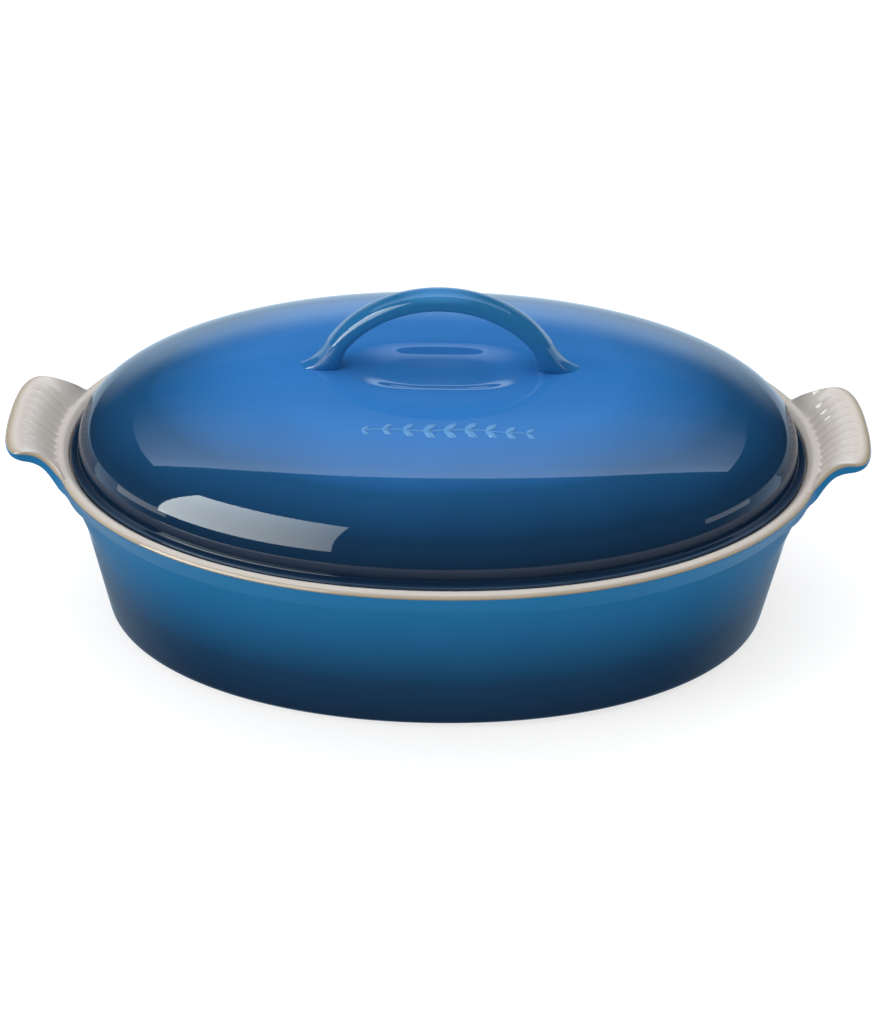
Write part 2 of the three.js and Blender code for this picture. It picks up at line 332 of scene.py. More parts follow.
def make_glaze_pool():
    """Slight pooling: the glaze is a touch deeper and lighter in soft patches, with fine specks."""
    group, given = effect("glaze_pooling", {
        "Colour": ("colour", (0.5, 0.5, 0.5, 1)), "Depth": ("value", 0.08),
        "Speck Colour": ("colour", (0.3, 0.2, 0.12, 1)), "Specks": ("value", 0.1)},
        {"Colour": "colour", "Patch": "value"})
    patch = noise(group, 34.0, 4.0)
    swing = work(group, "MULTIPLY_ADD", work(group, "SUBTRACT", patch, 0.5), given["Depth"], 1.0)
    shaded = put(group, "ShaderNodeHueSaturation", {"Value": swing, "Color": given["Colour"]}).outputs[0]
    speck = put(group, "ShaderNodeMapRange", {0: noise(group, 1500.0, 2.0), 1: 0.66, 2: 0.76}).outputs[0]
    colour = blended(group, work(group, "MULTIPLY", speck, given["Specks"]), shaded, given["Speck Colour"])
    put(group, "NodeGroupOutput", {0: colour, 1: patch})
    return group


def make_fired_skin():
    """Faint waves and orange peel of a fired glaze, as a height for a Bump node."""
    group, given = effect("fired_skin", {"Waves": ("value", 1.0), "Peel": ("value", 0.2)},
                          {"Height": "value"})
    waves = work(group, "MULTIPLY", noise(group, 22.0, 1.0), given["Waves"])
    height = work(group, "MULTIPLY_ADD", noise(group, 620.0, 2.0), given["Peel"], waves)
    put(group, "NodeGroupOutput", {0: height})
    return group


def make_glaze_break():
    """Where two glazes meet: a crisp border on a marked line, and the thin tan band beside it."""
    group, given = effect("glaze_break", {
        "Line": ("value", 0.0), "Softness": ("value", 0.25), "Band": ("value", 1.4)},
        {"Beyond": "value", "Thin": "value"})
    wander = work(group, "MULTIPLY_ADD", noise(group, 60.0, 2.0), 0.5, -0.25)
    line = work(group, "ADD", given["Line"], wander)
    beyond = put(group, "ShaderNodeMapRange",
                 {0: line, 1: work(group, "MULTIPLY", given["Softness"], -1.0), 2: given["Softness"]},
                 interpolation_type="SMOOTHSTEP").outputs[0]
    thin = put(group, "ShaderNodeMapRange", {0: line, 1: 0.0, 2: given["Band"], 3: 1.0, 4: 0.0},
               interpolation_type="SMOOTHSTEP").outputs[0]
    put(group, "NodeGroupOutput", {0: beyond, 1: thin})
    return group


EFFECTS = {"ombre": make_ombre(), "pooling": make_glaze_pool(), "skin": make_fired_skin(),
           "break": make_glaze_break()}


def use(tree, name, inputs):
    """One of the shared effects, placed in a material with its own values."""
    return put(tree, "ShaderNodeGroup", inputs, node_tree=EFFECTS[name]).outputs


def glaze(name, colour_of, rough_of, waves=0.5, peel=0.04, strength=0.2):
    """A glossy fired glaze: colour_of and rough_of give its colour and roughness in its tree."""
    material = bpy.data.materials.new(name)
    material.use_nodes = True
    tree = material.node_tree
    tree.nodes.clear()
    height = use(tree, "skin", {"Waves": waves, "Peel": peel})["Height"]
    bump = put(tree, "ShaderNodeBump", {"Strength": strength, "Distance": 0.0004, "Height": height})
    colour, patch = colour_of(tree)
    rough = rough_of(tree, patch)
    shader = put(tree, "ShaderNodeBsdfPrincipled", {
        "Base Color": colour, "Roughness": rough, "IOR": 1.52, "Normal": bump.outputs[0]})
    put(tree, "ShaderNodeOutputMaterial", {0: shader.outputs[0]})
    return material


def marked(tree, name):
    return put(tree, "ShaderNodeAttribute", attribute_name=name).outputs["Fac"]


def gloss(low, high):
    """Roughness that drifts a little with the glaze's patches."""
    def rough_of(tree, patch):
        return put(tree, "ShaderNodeMapRange", {0: patch, 1: 0.3, 2: 0.7, 3: low, 4: high}).outputs[0]
    return rough_of


BLUE_SPECK = (0.10, 0.25, 0.45, 1)
CREAM = (0.70, 0.655, 0.61, 1)
CREAM_THIN = (0.34, 0.27, 0.17, 1)
CLAY = (0.42, 0.31, 0.22, 1)


def cream_over(tree, under, line, thin_at_edges):
    """Cream glaze beyond the marked line, tan where it runs thin."""
    seam = use(tree, "break", {"Line": line, "Softness": 0.14, "Band": 4.8})
    thin = work(tree, "MAXIMUM", work(tree, "MULTIPLY", seam["Thin"], 0.95), thin_at_edges)
    cream = blended(tree, thin, CREAM, CREAM_THIN)
    pooled = use(tree, "pooling", {"Colour": cream, "Depth": 0.10, "Specks": 0.16,
                                   "Speck Colour": (0.36, 0.26, 0.18, 1)})
    return blended(tree, seam["Beyond"], under, pooled["Colour"]), pooled["Patch"]


def blue_fade(tree, stops, cloud, depth):
    """Sprayed blue through four (height in metres, colour) stops, pooled and specked."""
    inputs = {"Cloud": cloud}
    for stop, (height, colour) in zip(OMBRE_STOPS, stops):
        inputs[stop + " Height"], inputs[stop + " Colour"] = height, (*colour, 1)
    fade = use(tree, "ombre", inputs)["Colour"]
    return use(tree, "pooling", {"Colour": fade, "Depth": depth, "Specks": 0.05, "Speck Colour": BLUE_SPECK})


def dish_colour(tree):
    blue = blue_fade(tree, [
        (0.002, (0.008, 0.024, 0.056)), (0.030, (0.009, 0.042, 0.098)),
        (0.060, (0.013, 0.108, 0.250)), (0.088, (0.019, 0.168, 0.370))], 0.005, 0.12)["Colour"]
    both, patch = cream_over(tree, blue, marked(tree, "glaze_line"), marked(tree, "thin_glaze_and_lip_highlight"))
    bare = put(tree, "ShaderNodeMapRange", {0: spot_in(tree)[2], 1: 0.0011, 2: 0.0006}).outputs[0]
    return blended(tree, bare, both, CLAY), patch


def lid_colour(tree):
    blue = blue_fade(tree, [
        (0.096, (0.006, 0.022, 0.054)), (0.112, (0.008, 0.037, 0.090)),
        (0.1255, (0.013, 0.080, 0.205)), (0.134, (0.033, 0.190, 0.535))], 0.004, 0.10)["Colour"]
    # A lighter blue grey band round the lip's outer edge: thin glaze with a painted highlight on the
    # rounding.
    thin = blended(tree, marked(tree, "thin_glaze_and_lip_highlight"), blue, (0.08, 0.14, 0.22, 1))
    return cream_over(tree, thin, marked(tree, "glaze_line"), 0.0)


def handle_colour(tree):
    # The last stop makes the strap's top face lighter: a painted highlight for the bright room it faces
    # above and behind.
    blue = blue_fade(tree, [
        (0.134, (0.022, 0.165, 0.440)), (0.142, (0.018, 0.140, 0.350)),
        (0.1728, (0.020, 0.145, 0.325)), (0.1764, (0.060, 0.245, 0.540))], 0.004, 0.12)
    return blue["Colour"], blue["Patch"]


def sprig_colour(tree):
    # Lighter blue than the lid: partly the glaze running thin on the raised leaves, partly a painted
    # highlight for the light their edges catch.
    pooled = use(tree, "pooling", {"Colour": (0.10, 0.30, 0.62, 1), "Depth": 0.2, "Specks": 0.08,
                                   "Speck Colour": (0.3, 0.5, 0.8, 1)})
    return pooled["Colour"], pooled["Patch"]


# ---------------------------------------------------------------- dish

TIP_CURVE = [(193.7, 0), (193.7, 13), (192.5, 29.5), (184.5, 28.8)]
NECK_CURVE = [(184.5, 28.8), (177, 26.6), (167.7, 28), (164.7, 35.8)]
TIP_SHARE = 0.7  # how much of the walk along a lug's edge is its tip
ROOT_NARROWING = 0.81
ROOT_OUT, CREST_OUT = 1.0, 0.2  # mm out from the crest line: a lug's top starts, the crest begins

# Profiles: (mm out from the rim's crest line, height, length over which the corner is rounded).
FOOT_OUT, BASE_HEIGHT = -32.3, 1.6
WALL_PROFILE = [
    (FOOT_OUT, BASE_HEIGHT, 0), (-31.0, 1.6, 0.8), (-30.0, 0, 0.8), (-14.1, 0, 7.4),
    (-4.5, 80.3, 0.9), (-2.3, 81.0, 0.7), (-1.9, 81.9, 0)]
BAND_PROFILE = [(-1.9, 81.9), (1.7, 91.2)]
CORNER_PROFILE = [(1.7, 91.2, 0), (2.5, 93.2, 1.2), (2.7, 94.0, 0)]
CREST_PROFILE = [(2.7, 94.0, 0), (2.5, 95.4, 1.3), (0.9, 95.75, 0)]
FLOOR_OUT, FLOOR_HEIGHT = -58, 7.5
INSIDE_PROFILE = [
    (0.9, 95.75, 0), (-1.2, 95.75, 1.1), (-3.55, 93.4, 0.9), (-3.7, 90.4, 0.6), (-13.2, 90.4, 1.2),
    (-14.2, 86.0, 1.5), (-19.4, FLOOR_HEIGHT, 24.0), (FLOOR_OUT, FLOOR_HEIGHT, 0)]
LUG_ROWS = {"under": 16, "nose": 13, "flutes": 27, "crest": 7}
FLUTE_COLUMNS, CORNER_COLUMNS, NECK_COLUMNS, RIM_COLUMNS = 55, 10, 18, 98
BORDER_ON_RIM, BORDER_ON_LUG = 0.75, 0.6  # where blue meets cream, as a share of the rounded edge
RIDGE_THIN = 0.25  # how thin the glaze runs on the ridges between flutes


def lug_edge(s):
    """Plan outline of a lug for s from 0 at its middle to 1 where it runs into the rim."""
    s = np.asarray(s, float)
    tip = bezier(TIP_CURVE, np.minimum(s / TIP_SHARE, 1))
    neck = bezier(NECK_CURVE, np.clip((s - TIP_SHARE) / (1 - TIP_SHARE), 0, 1))
    return np.where((s < TIP_SHARE)[:, None], tip, neck)


def edge_steps_at(across):
    """The s at which a lug's edge is so far across, for places in the fluted half."""
    scan = np.linspace(0, TIP_SHARE, 400)
    return np.interp(across, lug_edge(scan)[:, 1], scan)


def lug_root_y(s):
    """How far along the rim an edge step is rooted: fanned over the flutes, then out to the neck."""
    last = edge_steps_at(FLUTES["half"])
    fanned = ROOT_NARROWING * lug_edge(np.minimum(s, last))[:, 1]
    past = np.clip((s - last) / (1 - last), 0, 1) ** 1.2
    return fanned + (NECK_CURVE[-1][1] - ROOT_NARROWING * FLUTES["half"]) * past


def lug_columns():
    """Steps across a lug, from one neck to the other, close together over the flutes."""
    fluted = edge_steps_at(np.linspace(0, FLUTES["half"], FLUTE_COLUMNS))
    corner = np.linspace(fluted[-1], TIP_SHARE, CORNER_COLUMNS)[1:]
    neck = np.linspace(TIP_SHARE, 1, NECK_COLUMNS)[1:]
    half = np.concatenate([fluted, corner, neck])
    return np.concatenate([-half[:0:-1], half])


def dish_columns():
    """Turn and s of every column round the dish; s is 2 away from the lugs."""
    s = lug_columns()
    turn = np.arcsin((lug_root_y(np.abs(s)) / RIM["short"]) ** (OVAL / 2)) * np.sign(s)
    last = turn[-1]
    plain = np.linspace(last, math.pi - last, RIM_COLUMNS)[1:-1]
    away = np.full(len(plain), 2.0)
    turns = np.concatenate([turn, plain, turn + math.pi, plain + math.pi])
    steps = np.concatenate([s, away, -s, away])
    return turns, steps


def dish_ring(turns, out, z, scale=1.0):
    """A ring of the dish, so many mm out from the rim's crest line."""
    xy = oval(RIM["long"] + out, RIM["short"] + out, turns) * scale
    return np.concatenate([xy, np.full((len(turns), 1), z)], 1)


def with_gusset(ring):
    """The ring, pushed out a little under the necks of the lugs."""
    beside = np.exp(-((np.abs(ring[:, 1]) - GUSSET["beside"]) / GUSSET["width"]) ** 2)
    beside *= np.abs(ring[:, 0]) > RIM["long"] / 2
    low, high = GUSSET["fade_in"], GUSSET["fade_out"]
    level = ease((ring[:, 2] - low[0]) / (low[1] - low[0]))
    level *= 1 - ease((ring[:, 2] - high[0]) / (high[1] - high[0]))
    ring[:, 0] += np.sign(ring[:, 0]) * GUSSET["out"] * beside * level
    return ring


def wall_rows(turns):
    """Underside, foot ring and tapered wall, up to the rim's band."""
    rows = [dish_ring(turns, FOOT_OUT, BASE_HEIGHT, k) for k in (0.04, 0.3, 0.6, 0.85)]
    rows += [dish_ring(turns, out, z) for out, z in turned_profile(WALL_PROFILE, 8, 6.0)]
    return np.stack([with_gusset(row) for row in rows])


def rim_rows(turns):
    """The rim's band, outer corner and crest, in as many rows as a lug has."""
    top = LUG_ROWS["flutes"] + LUG_ROWS["crest"]
    band = spread_along(BAND_PROFILE, LUG_ROWS["under"] + 1)[1:]
    corner = spread_along(turned_profile(CORNER_PROFILE, 6), LUG_ROWS["nose"] + 1)[1:]
    crest = spread_along(turned_profile(CREST_PROFILE, 6), top + 1)[1:]
    spots = np.concatenate([band, corner, crest])
    return np.stack([with_gusset(dish_ring(turns, out, z)) for out, z in spots])


def inside_rows(turns):
    """From the crest over the lid's ledge down to the floor."""
    rows = [dish_ring(turns, out, z) for out, z in turned_profile(INSIDE_PROFILE, 7, 7.0)[1:]]
    rows += [dish_ring(turns, FLOOR_OUT, FLOOR_HEIGHT, k) for k in (0.8, 0.55, 0.3, 0.08)]
    return np.stack(rows)


def lug_rows(turns, clear, under_root):
    """Rows over a lug: underside, rounded edge, fluted top, crest; and how far out each top row lies."""
    edge = lug_edge(clear)
    edge = np.stack([edge[:, 0] * np.sign(np.cos(turns)), edge[:, 1] * np.sign(np.sin(turns))], 1)
    top_root = dish_ring(turns, ROOT_OUT, 0)[:, :2]
    crest_root = dish_ring(turns, CREST_OUT, 0)[:, :2]
    full = np.linalg.norm(edge - top_root, axis=1)
    nose = np.minimum(LUG["nose"], full / 2)
    inward = (top_root - edge) / np.maximum(full, 1e-6)[:, None]
    shoulder = edge + inward * nose[:, None]
    long_reach = full - nose

    # A lug climbs quickly near its necks, and its underside dies away towards them.
    run = LUG["run"] + (LUG["neck_run"] - LUG["run"]) * ease((clear - 0.5) / 0.28)
    dwindling = 1 - 0.9 * ease((clear - 0.78) / 0.22)

    def top_z(reach):
        return LUG["root"] + LUG["rise"] * (1 - np.exp(-(reach / run) ** 1.35))

    def under_z(reach):
        climb = 1 - np.exp(-reach * dwindling / LUG_UNDER["run"])
        return LUG_UNDER["root"] + LUG_UNDER["rise"] * climb

    plans, heights, reaches = [], [], []

    def add(plan, z, reach=-1.0):
        plans.append(plan)
        heights.append(z + np.zeros(len(turns)))
        reaches.append(reach + np.zeros(len(turns)))

    for t in np.linspace(0, 1, LUG_ROWS["under"] + 1)[1:]:
        add(under_root + (shoulder - under_root) * t, under_z(long_reach * t))
    low, high = under_z(long_reach), top_z(long_reach)
    for angle in np.linspace(-math.pi / 2, math.pi / 2, LUG_ROWS["nose"] + 1)[1:]:
        out = nose * (1 - max(math.cos(angle), 0) ** 0.8)
        add(edge + inward * out[:, None], (low + high) / 2 + math.sin(angle) * (high - low) / 2)
    for t in np.linspace(1, 0, LUG_ROWS["flutes"] + 1)[1:] ** 1.25:
        add(top_root + (shoulder - top_root) * t, top_z(long_reach * t), long_reach * t)
    for t in np.linspace(0, 1, LUG_ROWS["crest"] + 1)[1:]:
        add(top_root + (crest_root - top_root) * t, LUG["root"] + 0.15 * ease(t))
    heights = np.stack(heights)[:, :, None]
    return np.concatenate([np.stack(plans), heights], 2), np.stack(reaches)


def past_border(rows, first, share):
    """Distance past the blue and cream border, along the rim's corner and the lugs' edges."""
    run = run_along_rows(rows)
    on_nose = BORDER_ON_RIM * (1 - share) + BORDER_ON_LUG * share
    border = first + LUG_ROWS["under"] + LUG_ROWS["nose"] * on_nose
    row = np.floor(border).astype(int)
    column = np.arange(rows.shape[1])
    part = border - row
    return run - (run[row, column] * (1 - part) + run[row + 1, column] * part)


def flute_marks(s, near, reach):
    """Each column's place in the row of flutes, and the thin glaze on the ridges between them."""
    half = FLUTES["half"]
    across = np.where(near, np.sign(s) * lug_edge(np.minimum(np.abs(s), 1))[:, 1], 99.0)
    among = np.abs(across) < half
    phase = np.where(among, (across / half + 1) / 2 * FLUTES["count"], 0)
    ridge = 1 - np.abs(np.sin(np.pi * phase))
    on_lug = (reach > FLUTES["start"]) & (reach < FLUTES["end"]) & among[None]
    return phase, np.where(on_lug, RIDGE_THIN * ridge[None] ** 3, 0)


def dish_rows():
    """Every row of the dish, from the middle of its underside to the middle of its floor."""
    turns, s = dish_columns()
    near = np.abs(s) <= 1
    clear = np.minimum(np.abs(s), 1)
    wall = wall_rows(turns)
    over_lug, lug_reach = lug_rows(turns, clear, wall[-1][:, :2])
    share = np.where(near, 1 - ease((clear - 0.88) / 0.12), 0)
    middle = rim_rows(turns) * (1 - share)[None, :, None] + over_lug * share[None, :, None]
    rows = np.concatenate([wall, middle, inside_rows(turns)])

    reach = np.full(rows.shape[:2], -1.0)
    reach[len(wall):len(wall) + len(middle)] = np.where(near[None], lug_reach, -1.0)
    phase, thin = flute_marks(s, near, reach)
    marks = {"glaze_line": past_border(rows, len(wall), share), "thin_glaze_and_lip_highlight": thin, "reach": reach,
             "flute_phase": np.broadcast_to(phase[None], rows.shape[:2])}
    return rows, marks


def flute_recipe(material):
    """Presses soft parallel flutes into the lugs, along the marked reach."""
    recipe = Recipe("lug_flutes", {
        "Depth": FLUTES["depth"] * MM, "Start": FLUTES["start"], "End": FLUTES["end"],
        "Arris": 0.006, "Front Lean": 0.42})
    given = recipe.given
    reach, phase = recipe.mark("reach"), recipe.mark("flute_phase")
    wave = recipe.work("SINE", recipe.work("MULTIPLY", phase, math.pi))
    scallop = recipe.work("SQRT", recipe.work("MULTIPLY_ADD", wave, wave, given["Arris"]))
    scallop = recipe.work("SUBTRACT", scallop, recipe.work("SQRT", given["Arris"]))
    along = recipe.put("ShaderNodeMapRange", {0: reach, 1: given["Start"], 2: given["End"]}).outputs[0]
    leaning = recipe.work("POWER", along, given["Front Lean"])
    swell = recipe.work("SINE", recipe.work("MULTIPLY", leaning, math.pi))
    drop = recipe.work("MULTIPLY", recipe.work("MULTIPLY", scallop, swell), given["Depth"])
    shift = recipe.point(0.0, 0.0, recipe.work("MULTIPLY", drop, -1.0))
    moved = recipe.put("GeometryNodeSetPosition", {"Geometry": given["Geometry"], "Offset": shift})
    recipe.finish(moved.outputs[0], material)
    return recipe


def make_dish():
    material = glaze("two_tone_dish_glaze", dish_colour, gloss(0.03, 0.06))
    rows, marks = dish_rows()
    dish = flute_recipe(material).apply(ring_mesh("stoneware_dish", rows, marks))
    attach(dish, "dish")
    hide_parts("dish", "lug_left", "lug_right")
    return dish


# ---------------------------------------------------------------- lid

LID_COLUMNS = 384
# Rings of a skin of the lid: on the dimple's bowl and side, from there to the dome, and on the dome.
OUTSIDE_RINGS = {"bowl": 6, "side": 30, "between": 20, "dome": 60}
INSIDE_RINGS = {"bowl": 6, "side": 12, "between": 8, "dome": 30}
DOME_STEPS = {"first": 0.2424, "outside_last": 0.9795, "inside_last": 0.985}  # 0 at the crown, 1 at the foot
LIP_PROFILE = [  # mm out from the dome's foot, height, rounding
    (0, 96.8, 0), (0.2, 94.1, 0.8), (3.6, 93.9, 0.9), (3.8, 91.2, 0.5), (2.9, 90.7, 0.4),
    (-5.2, 90.7, 0.5), (-6.0, 94.0, 0.8), (-6.0, 95.6, 0)]
LIP_Y_SHARE = 1.105  # mm that the lip's profile measures in Y for each mm in X
# The thin_highlight sizes place a lighter band on the lip's rounded outer edge: partly thin glaze, partly a
# painted highlight.
LIP_GLAZE = {"border_height": 91.0, "thin_highlight_out": 3.4, "thin_highlight_height": 93.3, "thin_highlight_width": 0.9, "thin": 0.3}
ALL_BLUE = -9  # a glaze line value far on the blue side


def lid_skin(turns, wall, last_step, rings):
    """Flat rings of one skin of the dome, from the middle of its dimple outwards."""
    dimple = oval(DIMPLE["long"], DIMPLE["short"], turns, DIMPLE["corner"])
    foot = oval(LID["long"] - wall, LID["short"] - wall, turns)

    def dome_ring(step):
        return foot * math.sin(step * math.pi / 2) ** (2 / LID["crown"])

    bowl, side = np.linspace(0.04, 0.46, rings["bowl"]), np.linspace(0.5, 1, rings["side"])
    between = np.linspace(0, 1, rings["between"] + 2)[1:-1]
    first = dome_ring(DOME_STEPS["first"])
    skin = [dimple * k for k in np.concatenate([bowl, side])]
    skin += [dimple * (1 - k) + first * k for k in between]
    return skin + [dome_ring(step) for step in np.linspace(DOME_STEPS["first"], last_step, rings["dome"])]


def lid_rows():
    """Flat plan rings of the lid, each marked with how the dome lifts it; and the number on the lip."""
    turns = np.linspace(0, 2 * math.pi, LID_COLUMNS, endpoint=False)
    rows, walls, lifted = [], [], []

    def add(xy, z, wall, lift):
        rows.append(np.concatenate([xy, np.full((len(turns), 1), float(z))], 1))
        walls.append(np.full(len(turns), wall))
        lifted.append(np.full(len(turns), lift))

    for xy in lid_skin(turns, 0.0, DOME_STEPS["outside_last"], OUTSIDE_RINGS):
        add(xy, 0, 0.0, 1.0)
    lip = turned_profile(LIP_PROFILE, 7, 3.0)[1:]
    for out, z in lip:
        add(oval(LID["long"] + out, LID["short"] + out * LIP_Y_SHARE, turns), z, 0.0, 0.0)
    for xy in reversed(lid_skin(turns, LID["wall"], DOME_STEPS["inside_last"], INSIDE_RINGS)):
        add(xy, 0, LID["wall"], 1.0)
    return np.stack(rows), {"wall": np.stack(walls) * MM, "lifted": np.stack(lifted)}, len(lip)


def lip_marks(rows, lip_count):
    """Distance past the blue and cream border on the lip, and the lighter band round its outer edge: thin
    glaze with a painted highlight.
    """
    first = sum(OUTSIDE_RINGS.values())
    lip = rows[first:first + lip_count, 0]
    run = run_along_rows(rows)
    border = first + int(np.argmin(np.abs(lip[:, 2] - LIP_GLAZE["border_height"])))
    line = run - run[border][None]
    line[:first] = ALL_BLUE
    thin = np.zeros(rows.shape[:2])
    for k, (x, _, z) in enumerate(lip):
        away = math.hypot(x - LID["long"] - LIP_GLAZE["thin_highlight_out"], z - LIP_GLAZE["thin_highlight_height"])
        thin[first + k] = LIP_GLAZE["thin"] * math.exp(-(away / LIP_GLAZE["thin_highlight_width"]) ** 2)
    return {"glaze_line": line, "thin_glaze_and_lip_highlight": thin}


def dome_recipe(material):
    """Lifts the lid's flat rings to the dome with its dimple."""
    recipe = Recipe("lid_dome", DOME_SIZES)
    given = recipe.given
    x, y, z = recipe.position()
    lifted = recipe.mark("lifted")
    height = recipe.work("MULTIPLY", recipe.dome(x, y, recipe.mark("wall")), lifted)
    level = recipe.work("MULTIPLY_ADD", z, recipe.work("SUBTRACT", 1.0, lifted), height)
    moved = recipe.put("GeometryNodeSetPosition", {"Geometry": given["Geometry"],
                                                   "Position": recipe.point(x, y, level)})
    recipe.finish(moved.outputs[0], material)
    return recipe


def make_lid():
    rows, marks, lip_count = lid_rows()
    marks.update(lip_marks(rows, lip_count))
    material = glaze("ombre_lid_glaze", lid_colour, gloss(0.02, 0.04))
    lid = dome_recipe(material).apply(ring_mesh("stoneware_lid", rows, marks))
    flip_outward(lid)
    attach(lid, "lid")
    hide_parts("lid")
    return lid


# ---------------------------------------------------------------- handle

HANDLE_COLUMNS, LEG_RINGS, ARCH_RINGS = 56, 43, 46
# Sizes of the strap's spread foot; the heights say how far up each effect dies away.
FOOT = {"flare_height": 3.4, "thicker": 2.2, "narrower": 1.2, "inward": 1.9, "leg_inward": 2.4, "aside": 0.8,
        "toe": 7.0, "toe_height": 2.8, "toe_turn": 0.3, "hug_height": 2.4, "sunk": 0.12}


def strap_ring(around, x, z, tilt, thick, wide):
    """One ring round the strap, centred over x at height z."""
    cut = oval(thick, wide, around, ARCH["corner"])
    return np.stack([x + cut[:, 0] * math.sin(tilt), cut[:, 1], z + cut[:, 0] * math.cos(tilt)], 1)


def leg_ring(around, height, knee, ground):
    """A ring of a leg so high over the dome; low down it spreads out and settles on the dome."""
    leg, tall = math.radians(ARCH["leg"]), knee[1] - ground
    flare = math.exp(-height / FOOT["flare_height"])
    level = min(1, height / tall)
    tilt = math.pi / 2 + (leg - math.pi / 2) * level
    x = knee[0] + (tall - height) / math.tan(leg) - FOOT["leg_inward"] * (1 - level) - FOOT["inward"] * flare
    ring = strap_ring(around, x, ground + height, tilt,
                      ARCH["thick"] + FOOT["thicker"] * flare, ARCH["wide"] - FOOT["narrower"] * flare)
    outer = (0.5 + 0.5 * np.cos(around - FOOT["toe_turn"])) ** 2
    ring[:, 0] += FOOT["toe"] * math.exp(-height / FOOT["toe_height"]) * outer
    ring[:, 1] += FOOT["aside"] * flare
    floor = dome_height(ring[:, 0], ring[:, 1]) - FOOT["sunk"]
    hug = math.exp(-(height / FOOT["hug_height"]) ** 2)
    ring[:, 2] = np.maximum(ring[:, 2] * (1 - hug) + (floor + height) * hug, floor)
    return ring


def handle_rows():
    """Rings of the strap from one foot over the arch to the other."""
    around = np.linspace(0, 2 * math.pi, HANDLE_COLUMNS, endpoint=False)
    leg = math.radians(ARCH["leg"])

    def arch_spot(angle):
        return ARCH["radius"] * math.sin(angle), ARCH["crown"] - ARCH["radius"] * (1 - math.cos(angle))

    def dome_at(x):
        return float(dome_height(np.array(x), np.array(0.0)))

    knee = arch_spot(leg)
    ground = dome_at(knee[0] + (knee[1] - dome_at(knee[0])) / math.tan(leg))
    rows = []
    for k in np.linspace(0, 1, LEG_RINGS + 1)[:-1]:
        rows.append(leg_ring(around, (knee[1] - ground) * k ** 1.6, knee, ground))
    for angle in np.linspace(leg, 0, ARCH_RINGS):
        rows.append(strap_ring(around, *arch_spot(angle), angle, ARCH["thick"], ARCH["wide"]))
    rows = np.stack(rows)
    return np.concatenate([rows, rows[-2::-1] * np.array([-1, 1, 1])])


def make_handle():
    handle = ring_mesh("arched_handle", handle_rows())
    flip_outward(handle)
    handle.data.materials.append(glaze("handle_glaze", handle_colour, gloss(0.02, 0.05)))
    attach(handle, "lid")
    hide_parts("lid_handle")
    return handle


# ---------------------------------------------------------------- leaf sprig on the lid

SPRIG = {"left": -33.0, "right": 37.0, "row": -43.8, "pairs": 9}
STEM_STEPS = 60


def sprig_line(recipe):
    """The stem's gently waved line, flat."""
    given = recipe.given
    line = recipe.put("GeometryNodeCurvePrimitiveLine", {
        "Start": recipe.point(given["Left End"], given["Row"], 0.0),
        "End": recipe.point(given["Right End"], given["Row"], 0.0)}).outputs[0]
    share = recipe.put("GeometryNodeSplineParameter").outputs["Factor"]
    sway = recipe.work("MULTIPLY", recipe.work("SINE", recipe.work("MULTIPLY", share, 12.0)), given["Wave"])
    fine = recipe.put("GeometryNodeResampleCurve", {"Curve": line, "Count": STEM_STEPS}).outputs[0]
    return recipe.put("GeometryNodeSetPosition", {
        "Geometry": fine, "Offset": recipe.point(0.0, sway, 0.0)}).outputs[0]


def sprig_leaf(recipe):
    """One leaf, pointed at both ends, lying along X from its stalk."""
    given = recipe.given
    ball = recipe.put("GeometryNodeMeshIcoSphere", {"Radius": 1.0, "Subdivisions": 4}).outputs[0]
    x, y, z = recipe.position()
    left = recipe.work("MULTIPLY_ADD", x, recipe.work("MULTIPLY", x, -1.0), 1.0)
    point = recipe.work("POWER", recipe.work("MAXIMUM", left, 0.0001), 0.35)
    half_long = recipe.work("MULTIPLY", given["Leaf Length"], 0.5)
    half_wide = recipe.work("MULTIPLY", given["Leaf Width"], 0.5)
    shape = recipe.point(
        recipe.work("MULTIPLY", recipe.work("ADD", x, 1.0), half_long),
        recipe.work("MULTIPLY", recipe.work("MULTIPLY", y, point), half_wide),
        recipe.work("MULTIPLY", recipe.work("MULTIPLY", z, point), given["Leaf Height"]))
    return recipe.put("GeometryNodeSetPosition", {"Geometry": ball, "Position": shape}).outputs[0]


def sprig_leaves(recipe, line):
    """Both sides' leaves along the line, smaller towards its ends."""
    given = recipe.given
    stations = recipe.put("GeometryNodeCurveToPoints", {
        "Curve": line, "Count": given["Pairs"]}).outputs["Points"]
    span = recipe.work("SUBTRACT", given["Right End"], given["Left End"])
    along = recipe.work("DIVIDE", recipe.work("SUBTRACT", recipe.position()[0], given["Left End"]), span)
    arch = recipe.work("SINE", recipe.work("MULTIPLY", along, 2.9))
    swell = recipe.work("MULTIPLY_ADD", arch, 0.45, 0.58)
    leaf = sprig_leaf(recipe)
    sides = []
    for sign in (1.0, -1.0):
        turn = recipe.point(0.0, 0.0, recipe.work("MULTIPLY", given["Lean"], sign))
        sides.append(recipe.put("GeometryNodeInstanceOnPoints", {
            "Points": stations, "Instance": leaf, "Rotation": turn,
            "Scale": recipe.point(swell, swell, swell)}).outputs[0])
    return sides


